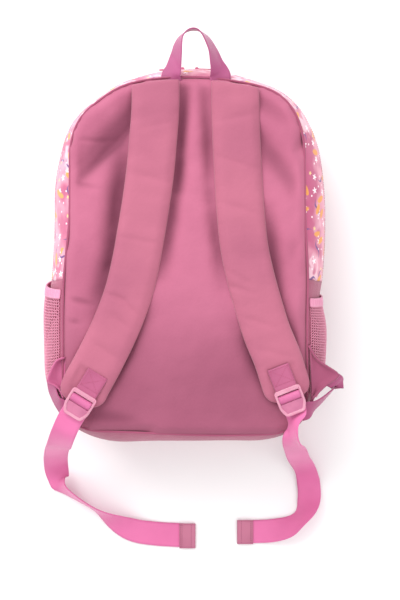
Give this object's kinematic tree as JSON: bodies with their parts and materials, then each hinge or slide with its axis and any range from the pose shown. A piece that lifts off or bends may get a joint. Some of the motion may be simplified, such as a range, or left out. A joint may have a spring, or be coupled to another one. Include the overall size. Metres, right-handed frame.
{
  "type": "school backpack",
  "caption": "Soft school backpack with padded shoulder straps, webbing haul loop, adjuster locks, zipped main compartment, front pocket and net side pockets.",
  "frame": {"origin": "on the front pocket's face, which the bag lies on, under the centre of the top arch", "axes": "+X across the bag, +Y towards the bag's top, +Z out of the back panel, which faces up while the bag lies on its front"},
  "size_m": [0.3421, 0.5998, 0.1484],
  "materials": {
    "back_fabric": "plain woven polyester",
    "printed_fabric": "printed woven polyester",
    "boot_fabric": "plain woven polyester",
    "strap_fabric": "padded woven polyester",
    "foam": "closed-cell foam",
    "lining": "thin nylon",
    "binding": "folded tape",
    "webbing": "ribbed webbing",
    "zip_tape": "woven tape with a coil",
    "slider_metal": "painted zinc",
    "lock_plastic": "moulded, slightly see-through",
    "net": "knitted net",
    "elastic": "woven elastic"
  },
  "bodies": {
    "front_half": {"front_panel": "back_fabric", "front_piping": "binding", "front_seam_binding": "binding", "front_gusset": "printed_fabric", "zip_tape_front": "zip_tape", "boot_left": "boot_fabric", "boot_right": "boot_fabric", "boot_bottom": "boot_fabric", "pocket_face": "back_fabric", "pocket_side_left": "printed_fabric", "pocket_side_right": "printed_fabric", "pocket_bottom": "printed_fabric", "pocket_top": "printed_fabric", "pocket_zip_tape": "zip_tape", "side_net_left": "net", "side_net_right": "net", "side_elastic_left": "elastic", "side_elastic_right": "elastic"},
    "back_half": {"back_panel": "back_fabric", "back_piping": "binding", "back_foam": "foam", "back_lining": "lining", "back_seam_binding": "binding", "back_gusset": "printed_fabric", "zip_tape_back": "zip_tape", "strap_backing_left": "back_fabric", "strap_foam_left": "foam", "strap_cover_left": "strap_fabric", "strap_tab_left": "webbing", "wing_tab_left": "back_fabric", "webbing_loop_left": "webbing", "strap_backing_right": "back_fabric", "strap_foam_right": "foam", "strap_cover_right": "strap_fabric", "strap_tab_right": "webbing", "wing_tab_right": "back_fabric", "webbing_loop_right": "webbing"},
    "haul": {"haul_loop": "webbing"},
    "lock_left": {"ladder_lock_left": "lock_plastic", "webbing_wrap_left": "webbing"},
    "tail_left": {"webbing_tail_left": "webbing"},
    "slider_left": {"main_slider_left": "slider_metal"},
    "pull_left": {"main_pull_left": "slider_metal"},
    "lock_right": {"ladder_lock_right": "lock_plastic", "webbing_wrap_right": "webbing"},
    "tail_right": {"webbing_tail_right": "webbing"},
    "slider_right": {"main_slider_right": "slider_metal"},
    "pull_right": {"main_pull_right": "slider_metal"},
    "pocket_slider": {"pocket_slider": "slider_metal"},
    "pocket_pull": {"pocket_pull": "slider_metal"}
  },
  "joints": [
    {"name": "back_open", "type": "hinge", "parent": "front_half", "child": "back_half", "pos_m": [0, -0.2, 0.13], "axis": [1, 0, 0], "range_deg": [0, 10]},
    {"name": "haul_swing", "type": "hinge", "parent": "back_half", "child": "haul", "pos_m": [0.0071, 0.2, 0.13], "axis": [1, 0, 0], "range_deg": [-45, 45], "stiffness_Nm_per_rad": 0.15},
    {"name": "lock_left_tilt", "type": "hinge", "parent": "back_half", "child": "lock_left", "pos_m": [-0.1174, -0.1575, 0.145], "axis": [-0.8511, 0.525, 0], "range_deg": [0, 25]},
    {"name": "tail_left_level", "type": "hinge", "parent": "back_half", "child": "tail_left", "pos_m": [-0.1314, -0.1804, 0.1407], "axis": [1, 0, 0], "range_deg": [-10, 0]},
    {"name": "zip_left_slide", "type": "hinge", "parent": "front_half", "child": "slider_left", "pos_m": [0, 0, 0.074], "axis": [0, 0, 1], "range_deg": [0, 28]},
    {"name": "pull_left_swing", "type": "hinge", "parent": "slider_left", "child": "pull_left", "pos_m": [-0.00829, 0.21574, 0.074], "axis": [0, 0, 1], "range_deg": [-150, 0]},
    {"name": "lock_right_tilt", "type": "hinge", "parent": "back_half", "child": "lock_right", "pos_m": [0.1095, -0.152, 0.145], "axis": [-0.931, -0.365, 0], "range_deg": [0, 25]},
    {"name": "tail_right_level", "type": "hinge", "parent": "back_half", "child": "tail_right", "pos_m": [0.1188, -0.1766, 0.1407], "axis": [1, 0, 0], "range_deg": [-10, 0]},
    {"name": "zip_right_slide", "type": "hinge", "parent": "front_half", "child": "slider_right", "pos_m": [0, 0, 0.074], "axis": [0, 0, 1], "range_deg": [-28, 0]},
    {"name": "pull_right_swing", "type": "hinge", "parent": "slider_right", "child": "pull_right", "pos_m": [0.00829, 0.21574, 0.074], "axis": [0, 0, 1], "range_deg": [0, 150]},
    {"name": "pocket_zip_slide", "type": "slide", "parent": "front_half", "child": "pocket_slider", "axis": [1, 0, 0], "range_m": [0, 0.15]},
    {"name": "pocket_pull_swing", "type": "hinge", "parent": "pocket_slider", "child": "pocket_pull", "pos_m": [-0.075, 0.0767, 0.014], "axis": [0, 0, 1], "range_deg": [0, 150]}
  ],
  "couplings": [
    {"joint": "tail_left_level", "follows": "back_open", "ratio": -1},
    {"joint": "tail_right_level", "follows": "back_open", "ratio": -1}
  ]
}
